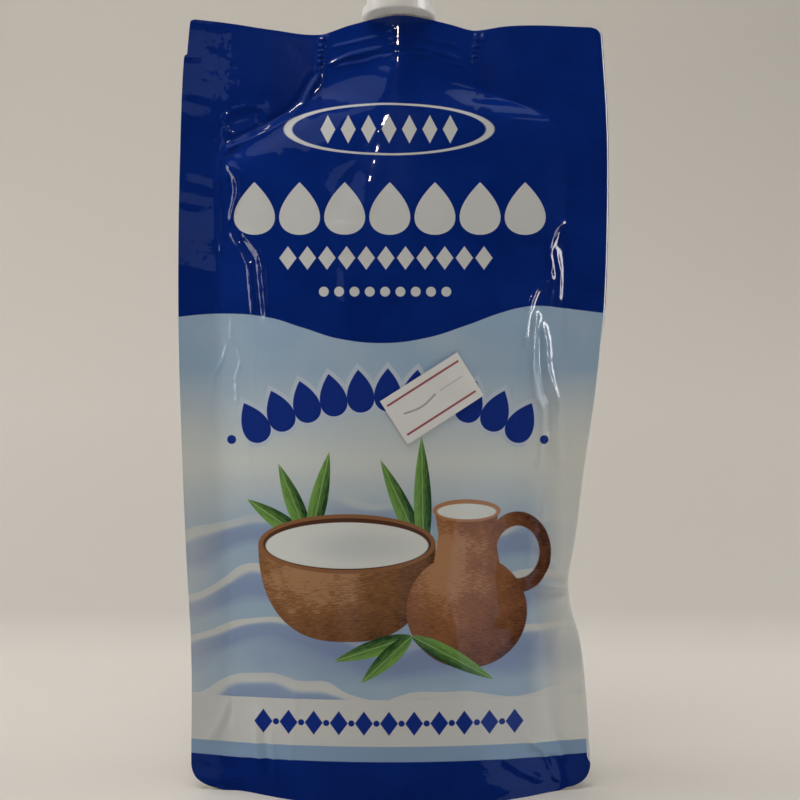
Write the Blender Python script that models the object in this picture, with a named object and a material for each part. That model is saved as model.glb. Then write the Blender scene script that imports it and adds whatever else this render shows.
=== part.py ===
"""A spouted stand-up pouch of sweetened condensed milk, shut and full, with its screw cap and a price label.

Metres, +Z up. The front faces -Y and the pouch stands on the floor at z = 0. The origin is the bottom centre of
the whole object's box. The pouch is one solid out to its outer film, because it is full and shut.
"""

import math

import bmesh
import bpy
import numpy as np

# Pouch film and seals
POUCH_HEIGHT = 0.1942
FILM = 0.0005  # two films welded together
SIDE_SEAL = 0.0102
BASE_CORNER = 0.0072
LEFT_TOP_CORNER = 0.0012
RIGHT_TOP_CORNER = 0.0024

# Outline of the standing pouch, seen from the front: (height, x)
LEFT_EDGE = (
    (0.0000, -0.0532),
    (0.0385, -0.0528),
    (0.0616, -0.0535),
    (0.0868, -0.0540),
    (0.1196, -0.0546),
    (0.1590, -0.0549),
    (0.1824, -0.0546),
    (0.1965, -0.0538),
)
RIGHT_EDGE = (
    (0.0000, 0.0487),
    (0.0153, 0.0480),
    (0.0253, 0.0472),
    (0.0401, 0.0452),
    (0.0486, 0.0427),
    (0.0545, 0.0423),
    (0.0616, 0.0434),
    (0.0843, 0.0460),
    (0.1002, 0.0482),
    (0.1206, 0.0501),
    (0.1450, 0.0513),
    (0.1608, 0.0517),
    (0.1965, 0.0508),
)
# The film's cut top edge waves: (x, rise above POUCH_HEIGHT)
TOP_EDGE_RISE = (
    (-0.0540, 0.0019),
    (-0.0430, 0.0006),
    (-0.0325, -0.0010),
    (-0.0200, -0.0022),
    (-0.0127, -0.0007),
    (-0.0005, 0.0005),
    (0.0127, -0.0004),
    (0.0178, -0.0012),
    (0.0270, -0.0001),
    (0.0510, -0.0004),
)
TOP_WAVE_START = 0.162

# Depth of the plane of the side seals, from the side: (height, y)
SEAL_DEPTH = (
    (0.000, 0.0000),
    (0.030, -0.0012),
    (0.060, -0.0040),
    (0.090, -0.0066),
    (0.125, -0.0074),
    (0.138, -0.0066),
    (0.158, -0.0049),
    (0.175, -0.0032),
    (0.1965, -0.0003),
)

# How far each film stands off that plane along its middle: (height, depth)
FRONT_BELLY = (
    (0.000, 0.0102),
    (0.025, 0.0120),
    (0.055, 0.0128),
    (0.090, 0.0120),
    (0.120, 0.0104),
    (0.145, 0.0086),
    (0.165, 0.0068),
    (0.1965, 0.0056),
)
BACK_BELLY = (
    (0.000, 0.0128),
    (0.025, 0.0148),
    (0.055, 0.0158),
    (0.090, 0.0145),
    (0.120, 0.0122),
    (0.145, 0.0098),
    (0.165, 0.0074),
    (0.1965, 0.0056),
)
BELLY_ROUNDNESS = 2.2

# How softly the filled part runs out into the side seals: (height, share of the depth)
SEAL_FILLET = (
    (0.000, 0.15),
    (0.090, 0.13),
    (0.135, 0.05),
    (0.1965, 0.05),
)

# Where the filled part narrows: how far it reaches from the boat to each side seal, and the base welds
LEFT_REACH = (
    (0.1500, 1.00),
    (0.1565, 0.985),
    (0.1600, 0.92),
    (0.1650, 0.70),
    (0.1700, 0.42),
    (0.1750, 0.17),
    (0.1810, 0.00),
    (0.1965, 0.00),
)
RIGHT_REACH = (
    (0.1500, 1.00),
    (0.1600, 0.985),
    (0.1650, 0.94),
    (0.1690, 0.85),
    (0.1720, 0.66),
    (0.1745, 0.38),
    (0.1775, 0.12),
    (0.1810, 0.00),
    (0.1965, 0.00),
)
BASE_WELD_HEIGHT = 0.020
LEFT_BASE_WELD = 0.0030
RIGHT_BASE_WELD = -0.0015  # the filled part spreads over the seal there

# Underside: the skirt's foot, the groove inside it and the gusset's belly
GUSSET_GROOVE = 0.0045
SKIRT_FOOT = 0.0007
GROOVE_WALL = 0.0011
GROOVE_CREST = 0.0022
GROOVE_END = 0.0075
GROOVE_OFFSETS = (0.0, SKIRT_FOOT, GROOVE_WALL, GROOVE_CREST, 0.0038, 0.0056, GROOVE_END)
GROOVE_SHALLOW_DEPTH = 0.004
GROOVE_FULL_DEPTH = 0.009

# Spout: the boat welded between the films, its neck and its collar
SPOUT_X = -0.0003
BOAT_HALF_LENGTH = 0.0192
BOAT_HALF_DEPTH = 0.0053
BOAT_NOSE = 0.08
BOAT_TIP = 0.00015
BOAT_START = 0.168
BOAT_FULL = 0.1825
BOAT_RIB_LOWEST = 0.1850
BOAT_RIB_PITCH = 0.0022
BOAT_RIBS = 3
BOAT_RIB_RELIEF = 0.0004
BOAT_RIB_HALF = 0.0009
POCKET_FLOOR = 0.1906
BOAT_TOP = 0.1926
GAP = 0.0003
NECK_FOOT_RADIUS = 0.0043
NECK_RADIUS = 0.0060
COLLAR_RADIUS = 0.0093
COLLAR_LOW = 0.1953
COLLAR_HIGH = 0.1980
NECK_TOP = 0.2013

# Screw cap and its tear-off ring
CAP_RADIUS = 0.0082
CAP_RIBS = 24
CAP_RIB_RELIEF = 0.0004
RING_LOW = 0.1986
RING_HIGH = 0.2012
CAP_LOW = 0.2017
CAP_HEIGHT = 0.0138
CAP_CHAMFER = 0.0009
CAP_DISH_RADIUS = 0.0052
CAP_DISH_DEPTH = 0.0005

# Price label stuck on the front
LABEL_LENGTH = 0.0215
LABEL_WIDTH = 0.0120
LABEL_THICKNESS = 0.0003
LABEL_X = 0.0076
LABEL_Z = 0.0996
LABEL_TURN = math.radians(32.5)

COLUMNS = 34
MIDDLE_ROWS = 26
TURNED_SEGMENTS = 48


def smooth(low, high, at):
    """0 below low, 1 above high, and an eased step between them."""
    share = np.clip((np.asarray(at) - low) / (high - low), 0.0, 1.0)
    return share * share * (3.0 - 2.0 * share)


def through(stations, at):
    """A smooth curve through (position, value) stations, read at any position."""
    places, values = np.array(stations).T
    slopes = np.gradient(values, places)
    at = np.clip(at, places[0], places[-1])
    below = np.clip(np.searchsorted(places, at, side="right") - 1, 0, len(places) - 2)
    span = places[below + 1] - places[below]
    t = (at - places[below]) / span
    return (
        (2 * t**3 - 3 * t**2 + 1) * values[below]
        + (t**3 - 2 * t**2 + t) * span * slopes[below]
        + (3 * t**2 - 2 * t**3) * values[below + 1]
        + (t**3 - t**2) * span * slopes[below + 1]
    )


def corner_pull(from_end, radius):
    """How far a rounded corner draws the edge in, this far from the panel's end."""
    short = radius - np.clip(from_end, 0.0, radius)
    return radius - np.sqrt(radius * radius - short * short)


def side_edges(height):
    """x of the pouch's left and right cut edges."""
    base_pull = corner_pull(height, BASE_CORNER)
    left_pull = base_pull + corner_pull(POUCH_HEIGHT - height, LEFT_TOP_CORNER)
    right_pull = base_pull + corner_pull(POUCH_HEIGHT - height, RIGHT_TOP_CORNER)
    return through(LEFT_EDGE, height) + left_pull, through(RIGHT_EDGE, height) - right_pull


def fill_limits(height):
    """x of the filled part's two sides: the seals, the base welds and the shoulders under the spout."""
    low = np.clip(1.0 - height / BASE_WELD_HEIGHT, 0.0, 1.0) ** 2
    left = through(LEFT_EDGE, height) + SIDE_SEAL + LEFT_BASE_WELD * low
    right = through(RIGHT_EDGE, height) - SIDE_SEAL - RIGHT_BASE_WELD * low
    boat_left = SPOUT_X - BOAT_HALF_LENGTH
    boat_right = SPOUT_X + BOAT_HALF_LENGTH
    left = boat_left + (left - boat_left) * through(LEFT_REACH, height)
    return left, boat_right + (right - boat_right) * through(RIGHT_REACH, height)


def boat_depth(x):
    """Half depth of the spout's boat, which is pointed at both ends and round at its nose."""
    along = np.abs(x - SPOUT_X) / BOAT_HALF_LENGTH
    blunt = np.sqrt(along**2 + BOAT_NOSE**2) - BOAT_NOSE
    return BOAT_HALF_DEPTH * np.clip(1.0 - blunt / (math.sqrt(1 + BOAT_NOSE**2) - BOAT_NOSE), 0.0, 1.0)


def boat_reach(depth):
    """How far along the boat, from the spout's axis, it still has this half depth."""
    blunt = (1.0 - depth / BOAT_HALF_DEPTH) * (math.sqrt(1 + BOAT_NOSE**2) - BOAT_NOSE) + BOAT_NOSE
    return BOAT_HALF_LENGTH * math.sqrt(blunt**2 - BOAT_NOSE**2)


def rib_relief(height):
    """Height of the welding ribs that press through the film, between 0 and 1."""
    ribs = np.zeros_like(height)
    for rib in range(BOAT_RIBS):
        off = np.abs(height - (BOAT_RIB_LOWEST + rib * BOAT_RIB_PITCH))
        ribs = np.maximum(ribs, 1.0 - smooth(0.2 * BOAT_RIB_HALF, BOAT_RIB_HALF, off))
    return ribs


def film_depth(x, height, belly):
    """How far one film stands off the seal plane."""
    left, right = fill_limits(height)
    across = np.abs(x - (left + right) / 2) / ((right - left) / 2)
    rise = 1.0 - across**BELLY_ROUNDNESS
    bulge = through(belly, height) * (rise + np.sqrt(rise**2 + through(SEAL_FILLET, height) ** 2)) / 2
    boat = boat_depth(x)
    ribs = BOAT_RIB_RELIEF * rib_relief(height) * smooth(0.0, 0.3 * BOAT_HALF_DEPTH, boat)
    share = smooth(BOAT_START, BOAT_FULL, height)
    return bulge * (1.0 - share) + (boat + ribs) * share


def seal_plane(height):
    """y of the plane that the two films meet in."""
    return through(SEAL_DEPTH, height)


def film_y(x, height, side):
    """y of the outer face of the front film (side -1) or the back film (side 1)."""
    belly = FRONT_BELLY if side < 0 else BACK_BELLY
    return seal_plane(height) + side * (film_depth(x, height, belly) + FILM / 2)


def row_heights():
    """Heights of the pouch's rows: close together round the corners and over the boat's ribs."""
    turns = np.radians([0, 22, 40, 58, 75, 90])
    corner = BASE_CORNER * (1.0 - np.cos(turns))
    middle = np.linspace(BASE_CORNER, BOAT_FULL, MIDDLE_ROWS + 1)[1:]
    ribs = np.arange(BOAT_FULL + BOAT_RIB_PITCH / 3, POUCH_HEIGHT - RIGHT_TOP_CORNER, BOAT_RIB_PITCH / 3)
    top = POUCH_HEIGHT - RIGHT_TOP_CORNER * (1.0 - np.cos(np.radians([75, 60, 42, 20, 0])))
    return np.concatenate([corner, middle, ribs, top])


def shifted(x, height):
    """Height of a point of the film, once the cut top edge's wave is added."""
    return height + smooth(TOP_WAVE_START, POUCH_HEIGHT, height) * through(TOP_EDGE_RISE, x)


def make_object(name, mesh_data, color, roughness):
    """Links a mesh as a named object with a plain material of its own."""
    mesh = bpy.data.meshes.new(name)
    mesh_data.to_mesh(mesh)
    mesh_data.free()
    mesh.shade_smooth()
    mesh.set_sharp_from_angle(angle=math.radians(35))
    made = bpy.data.objects.new(name, mesh)
    bpy.context.scene.collection.objects.link(made)
    material = bpy.data.materials.new(name)
    material.use_nodes = True
    shader = material.node_tree.nodes["Principled BSDF"]
    shader.inputs["Base Color"].default_value = (*color, 1.0)
    shader.inputs["Roughness"].default_value = roughness
    made.data.materials.append(material)
    return made


def add_strips(work, lines):
    """Faces between neighbouring lines of vertices, which all have the same length and may share vertices."""
    for one, other in zip(lines, lines[1:]):
        for k in range(len(one) - 1):
            corners = dict.fromkeys((one[k], one[k + 1], other[k + 1], other[k]))
            if len(corners) > 2:
                work.faces.new(list(corners))


def underside_height(inside, half_depth):
    """z of the underside this far inside the skirt's face: its foot, the groove, then the gusset's belly."""
    rise = smooth(SKIRT_FOOT, GROOVE_WALL, inside)
    fall = 1.0 - smooth(GROOVE_CREST, GROOVE_END, inside)
    return float(GUSSET_GROOVE * rise * fall * smooth(GROOVE_SHALLOW_DEPTH, GROOVE_FULL_DEPTH, half_depth))


def make_pouch():
    """The full pouch: a grid for each film, the cut edges that join them, and the gusset's underside."""
    work = bmesh.new()
    across = np.linspace(0.0, 1.0, COLUMNS + 1)
    films = {}
    for side in (-1, 1):
        films[side] = []
        for height in row_heights():
            left, right = side_edges(height)
            x = left + (right - left) * across
            level = np.full_like(x, height)
            y = film_y(x, level, side)
            z = shifted(x, level)
            films[side].append([work.verts.new(point) for point in zip(x, y, z)])
        add_strips(work, films[side])
    front, back = films[-1], films[1]
    add_strips(work, [[row[0] for row in front], [row[0] for row in back]])
    add_strips(work, [[row[-1] for row in front], [row[-1] for row in back]])
    add_strips(work, [front[-1], back[-1]])
    add_strips(work, underside_lines(work, front[0], back[0]))
    bmesh.ops.recalc_face_normals(work, faces=work.faces)
    return make_object("pouch", work, (0.02, 0.05, 0.22), 0.25)


def underside_lines(work, front, back):
    """Lines of vertices under the pouch, from the front film's foot to the back film's."""
    inner = GROOVE_OFFSETS[1:]
    near = [underside_line(work, front, back, offset) for offset in inner]
    far = [underside_line(work, back, front, offset) for offset in reversed(inner)]
    middle = [work.verts.new((a.co + b.co) / 2) for a, b in zip(front[1:-1], back[1:-1])]
    return [front, *near, [front[0], *middle, front[-1]], *far, back]


def underside_line(work, feet, opposite, offset):
    """One line of the underside, this far inside the skirt. It meets the skirt at both ends of the base."""
    line = []
    for foot, other in zip(feet[1:-1], opposite[1:-1]):
        half = (other.co.y - foot.co.y) / 2
        squeeze = min(1.0, abs(half) / GROOVE_FULL_DEPTH)
        inward = math.copysign(offset * squeeze, half)
        line.append(work.verts.new((foot.co.x, foot.co.y + inward, underside_height(offset, abs(half)))))
    return [feet[0], *line, feet[-1]]


def boat_outline(inset):
    """Corners of the boat seen from above, this far inside the film's outer face."""
    reach = boat_reach(inset + BOAT_TIP)
    x = SPOUT_X + np.linspace(-reach, reach, 25)
    half = boat_depth(x) - inset
    middle = spout_y()
    front = list(zip(x, middle - half))
    back = list(zip(x[::-1], (middle + half)[::-1]))
    return front + back


def prism(outline, low, high):
    """An upright prism on an outline."""
    work = bmesh.new()
    ring = [work.verts.new((x, y, low)) for x, y in outline]
    floor = work.faces.new(ring)
    lifted = bmesh.ops.extrude_face_region(work, geom=[floor])
    top = [item for item in lifted["geom"] if isinstance(item, bmesh.types.BMVert)]
    bmesh.ops.translate(work, verts=top, vec=(0.0, 0.0, high - low))
    bmesh.ops.recalc_face_normals(work, faces=work.faces)
    return work


def turned(profile, segments, radius_at=None):
    """A closed body turned about the spout's axis from (radius, height) points. radius_at may vary a radius by angle."""
    work = bmesh.new()
    axis_y = spout_y()
    rings = []
    for radius, height in profile:
        if radius == 0.0:
            rings.append([work.verts.new((SPOUT_X, axis_y, height))])
            continue
        ring = []
        for step in range(segments):
            angle = 2 * math.pi * step / segments
            reach = radius_at(radius, step) if radius_at else radius
            ring.append(work.verts.new((SPOUT_X + reach * math.cos(angle), axis_y + reach * math.sin(angle), height)))
        rings.append(ring)
    for one, other in zip(rings, rings[1:]):
        for step in range(segments):
            after = (step + 1) % segments
            corners = [one[step % len(one)], one[after % len(one)], other[after % len(other)], other[step % len(other)]]
            work.faces.new(list(dict.fromkeys(corners)))
    if len(rings[0]) > 1:
        add_ring_joint(work, rings[-1], rings[0])
    bmesh.ops.recalc_face_normals(work, faces=work.faces)
    return work


def add_ring_joint(work, last, first):
    """Joins the last ring of an open profile back to its first, which makes a tube."""
    for step in range(len(first)):
        after = (step + 1) % len(first)
        work.faces.new((last[step], last[after], first[after], first[step]))


def spout_y():
    """y of the spout's axis, midway between the films."""
    return float(seal_plane(np.float64(BOAT_TOP)))


def boolean(target, tool, operation):
    """Applies one Boolean and keeps the tool out of the model."""
    step = target.modifiers.new(operation.lower(), "BOOLEAN")
    step.operation = operation
    step.object = tool
    step.solver = "EXACT"
    graph = bpy.context.evaluated_depsgraph_get()
    result = bpy.data.meshes.new_from_object(target.evaluated_get(graph))
    target.modifiers.remove(step)
    target.data = result
    bpy.data.objects.remove(tool)


def make_spout():
    """Boat, neck and collar in one piece. The boat's lower part is inside the weld and isn't modelled."""
    edge = 0.0003
    profile = [
        (0.0, BOAT_TOP - 0.001),
        (NECK_FOOT_RADIUS, BOAT_TOP - 0.001),
        (NECK_FOOT_RADIUS, COLLAR_LOW),
        (COLLAR_RADIUS - edge, COLLAR_LOW),
        (COLLAR_RADIUS, COLLAR_LOW + edge),
        (COLLAR_RADIUS, COLLAR_HIGH - edge),
        (COLLAR_RADIUS - edge, COLLAR_HIGH),
        (NECK_RADIUS, COLLAR_HIGH),
        (NECK_RADIUS, NECK_TOP),
        (0.0, NECK_TOP),
    ]
    spout = make_object("spout", turned(profile, TURNED_SEGMENTS), (0.62, 0.61, 0.57), 0.4)
    boat = prism(boat_outline(FILM + GAP), POCKET_FLOOR + GAP, BOAT_TOP)
    boolean(spout, make_object("boat_piece", boat, (0.6, 0.6, 0.6), 0.4), "UNION")
    return spout


def make_ring():
    """Tear-off ring between the collar and the cap."""
    edge = 0.0002
    inner = NECK_RADIUS + GAP
    profile = [
        (inner, RING_LOW),
        (CAP_RADIUS - edge, RING_LOW),
        (CAP_RADIUS, RING_LOW + edge),
        (CAP_RADIUS, RING_HIGH - edge),
        (CAP_RADIUS - edge, RING_HIGH),
        (inner, RING_HIGH),
    ]
    return make_object("tamper_ring", turned(profile, TURNED_SEGMENTS), (0.62, 0.61, 0.57), 0.4)


def make_cap():
    """Screw cap with upright grip ribs, a chamfered top and a shallow dish."""
    top = CAP_LOW + CAP_HEIGHT
    grip_low = CAP_LOW + 0.0010
    grip_high = top - CAP_CHAMFER - 0.0006
    groove = CAP_RADIUS - CAP_RIB_RELIEF
    profile = [
        (0.0, CAP_LOW),
        (groove, CAP_LOW),
        (CAP_RADIUS, grip_low),
        (CAP_RADIUS, grip_high),
        (groove, grip_high + 0.0006),
        (groove - CAP_CHAMFER, top),
        (CAP_DISH_RADIUS, top),
        (CAP_DISH_RADIUS - CAP_DISH_DEPTH, top - CAP_DISH_DEPTH),
        (0.0, top - CAP_DISH_DEPTH),
    ]

    def ribbed(radius, step):
        """Two of every four points lie in the groove between ribs."""
        return groove if radius == CAP_RADIUS and step % 4 in (2, 3) else radius

    return make_object("cap", turned(profile, 4 * CAP_RIBS, ribbed), (0.65, 0.64, 0.60), 0.4)


def make_label():
    """Price label lying on the front film, clear of it by the gap."""
    work = bmesh.new()
    along = np.linspace(-LABEL_LENGTH / 2, LABEL_LENGTH / 2, 15)
    up = np.linspace(-LABEL_WIDTH / 2, LABEL_WIDTH / 2, 9)
    layers = []
    for lift in (GAP, GAP + LABEL_THICKNESS):
        lines = []
        for rise in up:
            x = LABEL_X + along * math.cos(LABEL_TURN) - rise * math.sin(LABEL_TURN)
            z = LABEL_Z + along * math.sin(LABEL_TURN) + rise * math.cos(LABEL_TURN)
            y = film_y(x, z, -1) - lift
            lines.append([work.verts.new(point) for point in zip(x, y, z)])
        add_strips(work, lines)
        layers.append(lines)
    near, far = layers
    add_strips(work, [near[0], far[0]])
    add_strips(work, [near[-1], far[-1]])
    add_strips(work, [[line[0] for line in near], [line[0] for line in far]])
    add_strips(work, [[line[-1] for line in near], [line[-1] for line in far]])
    bmesh.ops.recalc_face_normals(work, faces=work.faces)
    return make_object("price_label", work, (0.6, 0.6, 0.57), 0.7)


def centre_on_floor(objects):
    """Moves everything so that the origin is the bottom centre of the whole box."""
    points = np.array([v.co for made in objects for v in made.data.vertices])
    middle = (points.min(0) + points.max(0)) / 2
    for made in objects:
        made.location = (-middle[0], -middle[1], -points[:, 2].min())


def main():
    for old in list(bpy.data.objects):
        bpy.data.objects.remove(old)
    pouch = make_pouch()
    pocket = prism(boat_outline(FILM), POCKET_FLOOR, POUCH_HEIGHT + 0.005)
    boolean(pouch, make_object("pocket", pocket, (0.5, 0.5, 0.5), 0.5), "DIFFERENCE")
    centre_on_floor([pouch, make_spout(), make_ring(), make_cap(), make_label()])


main()
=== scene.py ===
"""Looks of the spouted stand-up pouch: creased, glossy printed film, white spout and cap, price label."""

import math

import bmesh
import bpy
import numpy as np
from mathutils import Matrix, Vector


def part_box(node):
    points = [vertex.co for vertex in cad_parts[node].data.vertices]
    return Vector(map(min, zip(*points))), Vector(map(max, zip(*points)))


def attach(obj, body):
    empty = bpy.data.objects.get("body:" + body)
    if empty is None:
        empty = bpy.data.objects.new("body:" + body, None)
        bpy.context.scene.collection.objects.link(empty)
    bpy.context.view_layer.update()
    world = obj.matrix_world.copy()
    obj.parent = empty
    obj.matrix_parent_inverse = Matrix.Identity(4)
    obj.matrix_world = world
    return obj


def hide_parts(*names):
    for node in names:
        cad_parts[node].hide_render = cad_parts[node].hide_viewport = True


MM = 0.001

# Viewpoint, in the pouch's own frame before it is centred: metres, and pixels in an 800 pixel frame
EYE_Y = -0.2345
EYE_Z = 0.0992
FOCAL_PIXELS = 920
FRAME_PIXELS = 800
SENSOR_WIDTH = 36.0  # mm
CLIP_START = 0.01

# Pouch film and seals
POUCH_HEIGHT = 0.1942
FILM = 0.0005
SIDE_SEAL = 0.0102
BASE_CORNER = 0.0072
LEFT_TOP_CORNER = 0.0012
RIGHT_TOP_CORNER = 0.0024

# Outline of the standing pouch, seen from the front: (height, x)
LEFT_EDGE = (
    (0.0, -0.0532), (0.0385, -0.0528), (0.0616, -0.0535), (0.0868, -0.054), (0.1196, -0.0546),
    (0.159, -0.0549), (0.1824, -0.0546), (0.1965, -0.0538),
)
RIGHT_EDGE = (
    (0.0, 0.0487), (0.0153, 0.048), (0.0253, 0.0472), (0.0401, 0.0452), (0.0486, 0.0427),
    (0.0545, 0.0423), (0.0616, 0.0434), (0.0843, 0.046), (0.1002, 0.0482), (0.1206, 0.0501),
    (0.145, 0.0513), (0.1608, 0.0517), (0.1965, 0.0508),
)
TOP_EDGE_RISE = (
    (-0.054, 0.0019), (-0.043, 0.0006), (-0.0325, -0.001), (-0.02, -0.0022), (-0.0127, -0.0007),
    (-0.0005, 0.0005), (0.0127, -0.0004), (0.0178, -0.0012), (0.027, -0.0001), (0.051, -0.0004),
)
TOP_WAVE_START = 0.162

# Depth of the plane of the side seals, then how far each film stands off it: (height, depth)
SEAL_DEPTH = (
    (0.0, 0.0), (0.03, -0.0012), (0.06, -0.004), (0.09, -0.0066), (0.125, -0.0074), (0.138, -0.0066),
    (0.158, -0.0049), (0.175, -0.0032), (0.1965, -0.0003),
)
FRONT_BELLY = (
    (0.0, 0.0102), (0.025, 0.012), (0.055, 0.0128), (0.09, 0.012), (0.12, 0.0104), (0.145, 0.0086),
    (0.165, 0.0068), (0.1965, 0.0056),
)
BACK_BELLY = (
    (0.0, 0.0128), (0.025, 0.0148), (0.055, 0.0158), (0.09, 0.0145), (0.12, 0.0122), (0.145, 0.0098),
    (0.165, 0.0074), (0.1965, 0.0056),
)
BELLY_ROUNDNESS = 2.2
# How softly the filled part runs out into the side seals: (height, share of the depth)
SEAL_FILLET = (
    (0.0, 0.15), (0.09, 0.13), (0.135, 0.05), (0.1965, 0.05),
)
# How far the filled part reaches out from the boat to the side seals: (height, share)
LEFT_REACH = (
    (0.15, 1.0), (0.1565, 0.985), (0.16, 0.92), (0.165, 0.7), (0.17, 0.42), (0.175, 0.17), (0.181, 0.0),
    (0.1965, 0.0),
)
RIGHT_REACH = (
    (0.15, 1.0), (0.16, 0.985), (0.165, 0.94), (0.169, 0.85), (0.172, 0.66), (0.1745, 0.38),
    (0.1775, 0.12), (0.181, 0.0), (0.1965, 0.0),
)
BASE_WELD_HEIGHT = 0.020
LEFT_BASE_WELD = 0.0030
RIGHT_BASE_WELD = -0.0015  # the filled part spreads over the seal there

# Underside and the spout's boat
GUSSET_GROOVE = 0.0045
SKIRT_FOOT = 0.0007
GROOVE_WALL = 0.0011
GROOVE_CREST = 0.0022
GROOVE_END = 0.0075
GROOVE_OFFSETS = (
    SKIRT_FOOT, GROOVE_WALL, 0.0016, GROOVE_CREST, 0.0030, 0.0038, 0.0047, 0.0056, 0.0065, GROOVE_END,
)
GROOVE_SHALLOW_DEPTH = 0.004
GROOVE_FULL_DEPTH = 0.009
SPOUT_X = -0.0003
BOAT_HALF_LENGTH = 0.0192
BOAT_HALF_DEPTH = 0.0053
BOAT_NOSE = 0.08
BOAT_START = 0.168
BOAT_FULL = 0.1825
BOAT_TOP = 0.1926
BOAT_TIP = 0.00015
POCKET_FLOOR = 0.1906

# The cut edges: a nick at the top left, and the back film left proud at the right, above and below
NICK = 0.0007
NICK_HEIGHT = 0.1848
NICK_RUN = 0.0003
OVERHANG = 0.0005
OVERHANG_START = (0.113, 0.120)
# How far the front film falls short of the right edge, lower down: (height, distance)
SHORTFALL = (
    (0.0, 0.0), (0.007, 0.0), (0.0085, 0.0008), (0.0265, 0.0009), (0.03, 0.0007), (0.037, 0.0003),
    (0.044, 0.0003), (0.049, 0.0007), (0.056, 0.0005), (0.062, 0.0002), (0.113, 0.0002), (0.12, 0.0),
    (0.1965, 0.0),
)
# The white of the film's cut there, its tuck, and the heights between which the back film's runs out
WHITE_LINE = 0.0003
WHITE_TUCK = 0.0001
WHITE_END = (0.070, 0.110)
# The gusset's weld ends in a small step at both ends of the foot: x of the two, their run, rise and height
STEP_LEFT = -0.0455
STEP_RIGHT = 0.0408
STEP_RUN = 0.0004
STEP_RISE = 0.0006
STEP_HEIGHT = 0.004
# The film is flat this close to its sides, foot and top
FLAT_SIDE = 0.0015
FLAT_FOOT = 0.004
FLAT_TOP = 0.0012

# Price label
LABEL_LENGTH = 0.0215
LABEL_WIDTH = 0.0120
LABEL_THICKNESS = 0.00015
LABEL_LIFT = 0.0003
LABEL_CURL = 0.0004
LABEL_CURL_REACH = (0.0065, 0.0125)
LABEL_X = 0.0076
LABEL_Z = 0.0996
LABEL_TURN = math.radians(32.5)
LABEL_COLUMNS = 64
LABEL_ROWS = 36

# The film's mesh is finer where it creases: (distance from the nearer side edge, step) and (height, step)
COLUMNS = 194
ROWS = 368
COLUMN_STEPS = (
    (0.0, 0.0011), (0.007, 0.0008), (0.01, 0.0004), (0.023, 0.00042), (0.029, 0.0006), (0.031, 0.00042),
    (0.036, 0.00042), (0.039, 0.00075), (0.055, 0.0007),
)
ROW_STEPS = (
    (0.0, 0.0005), (0.01, 0.0008), (0.036, 0.0007), (0.044, 0.00046), (0.06, 0.0005), (0.07, 0.0009),
    (0.092, 0.0007), (0.104, 0.0005), (0.146, 0.00048), (0.16, 0.00042), (0.1942, 0.00036),
)
BACK_SKIP = 2
SPACING_POINTS = 4001
WELD_DISTANCE = 2e-6
SLIVER = 1e-7
SHARP_ANGLE = 50.0  # degrees
WEB_UNIT = 100.0  # mm of printed web for one unit of its UV map


def smooth(low, high, at):
    """0 below low, 1 above high, and an eased step between them."""
    share = np.clip((np.asarray(at) - low) / (high - low), 0.0, 1.0)
    return share * share * (3.0 - 2.0 * share)


def through(stations, at):
    """A smooth curve through (position, value) stations, read at any position."""
    places, values = np.array(stations).T
    slopes = np.gradient(values, places)
    at = np.clip(at, places[0], places[-1])
    below = np.clip(np.searchsorted(places, at, side="right") - 1, 0, len(places) - 2)
    span = places[below + 1] - places[below]
    t = (at - places[below]) / span
    return (
        (2 * t**3 - 3 * t**2 + 1) * values[below]
        + (t**3 - 2 * t**2 + t) * span * slopes[below]
        + (3 * t**2 - 2 * t**3) * values[below + 1]
        + (t**3 - t**2) * span * slopes[below + 1]
    )


def corner_pull(from_end, radius):
    """How far a rounded corner draws the edge in, this far from the panel's end."""
    short = radius - np.clip(from_end, 0.0, radius)
    return radius - np.sqrt(radius * radius - short * short)


def side_edges(height):
    """x of the pouch's left and right cut edges."""
    base_pull = corner_pull(height, BASE_CORNER)
    left_pull = base_pull + corner_pull(POUCH_HEIGHT - height, LEFT_TOP_CORNER)
    right_pull = base_pull + corner_pull(POUCH_HEIGHT - height, RIGHT_TOP_CORNER)
    return through(LEFT_EDGE, height) + left_pull, through(RIGHT_EDGE, height) - right_pull


def fill_limits(height):
    """x of the filled part's two sides: the seals, the base welds and the shoulders under the spout."""
    low = np.clip(1.0 - height / BASE_WELD_HEIGHT, 0.0, 1.0) ** 2
    left = through(LEFT_EDGE, height) + SIDE_SEAL + LEFT_BASE_WELD * low
    right = through(RIGHT_EDGE, height) - SIDE_SEAL - RIGHT_BASE_WELD * low
    boat_left = SPOUT_X - BOAT_HALF_LENGTH
    boat_right = SPOUT_X + BOAT_HALF_LENGTH
    left = boat_left + (left - boat_left) * through(LEFT_REACH, height)
    return left, boat_right + (right - boat_right) * through(RIGHT_REACH, height)


def boat_depth(x):
    """Half depth of the spout's boat, which is pointed at both ends and round at its nose."""
    along = np.abs(x - SPOUT_X) / BOAT_HALF_LENGTH
    blunt = np.sqrt(along**2 + BOAT_NOSE**2) - BOAT_NOSE
    return BOAT_HALF_DEPTH * np.clip(1.0 - blunt / (math.sqrt(1 + BOAT_NOSE**2) - BOAT_NOSE), 0.0, 1.0)


def film_depth(x, height, belly):
    """How far one film stands off the seal plane."""
    left, right = fill_limits(height)
    across = np.abs(x - (left + right) / 2) / ((right - left) / 2)
    rise = 1.0 - across**BELLY_ROUNDNESS
    bulge = through(belly, height) * (rise + np.sqrt(rise**2 + through(SEAL_FILLET, height) ** 2)) / 2
    share = smooth(BOAT_START, BOAT_FULL, height)
    return bulge * (1.0 - share) + boat_depth(x) * share


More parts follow.
